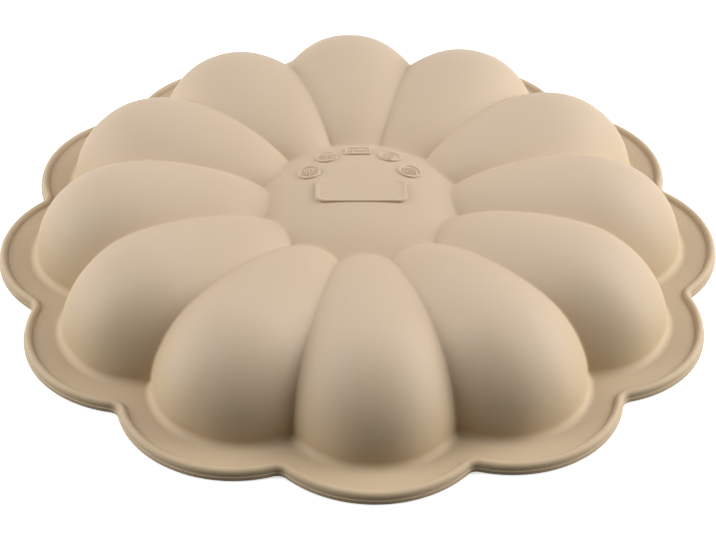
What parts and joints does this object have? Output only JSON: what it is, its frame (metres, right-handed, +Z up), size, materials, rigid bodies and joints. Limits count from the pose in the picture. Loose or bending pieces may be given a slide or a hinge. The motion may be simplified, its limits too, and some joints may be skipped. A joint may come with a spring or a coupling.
{
  "type": "flower cake mould",
  "caption": "Flexible silicone flower cake mould, upside down: arched hollow petals round a low dome, on a flat flange with a scalloped, beaded rim.",
  "frame": {"origin": "centre of the rim's underside, on the table that the upturned mould stands on", "axes": "+Z up through the dome, the mould's shortest way; a petal points along -Y and another along +X"},
  "size_m": [0.28, 0.28, 0.0369],
  "materials": {
    "petal_silicone": "matt beige silicone with a satin sheen",
    "flange_silicone": "matt beige silicone, very slightly darker",
    "rim_silicone": "matt beige silicone, smooth rounded bead",
    "dome_silicone": "matt beige silicone",
    "pad_silicone": "satin beige silicone, bare raised pads"
  },
  "bodies": {
    "root": {"rim_bead": "rim_silicone", "rim_flange": "flange_silicone", "petal_cup_01": "petal_silicone", "petal_cup_02": "petal_silicone", "petal_cup_03": "petal_silicone", "petal_cup_04": "petal_silicone", "petal_cup_05": "petal_silicone", "petal_cup_06": "petal_silicone", "petal_cup_07": "petal_silicone", "petal_cup_08": "petal_silicone", "petal_cup_09": "petal_silicone", "petal_cup_10": "petal_silicone", "petal_cup_11": "petal_silicone", "petal_cup_12": "petal_silicone", "centre_dome": "dome_silicone", "badge_plaque": "pad_silicone", "care_boss_1": "pad_silicone", "care_boss_2": "pad_silicone", "care_boss_3": "pad_silicone", "care_boss_4": "pad_silicone", "care_tile": "pad_silicone"}
  },
  "joints": []
}
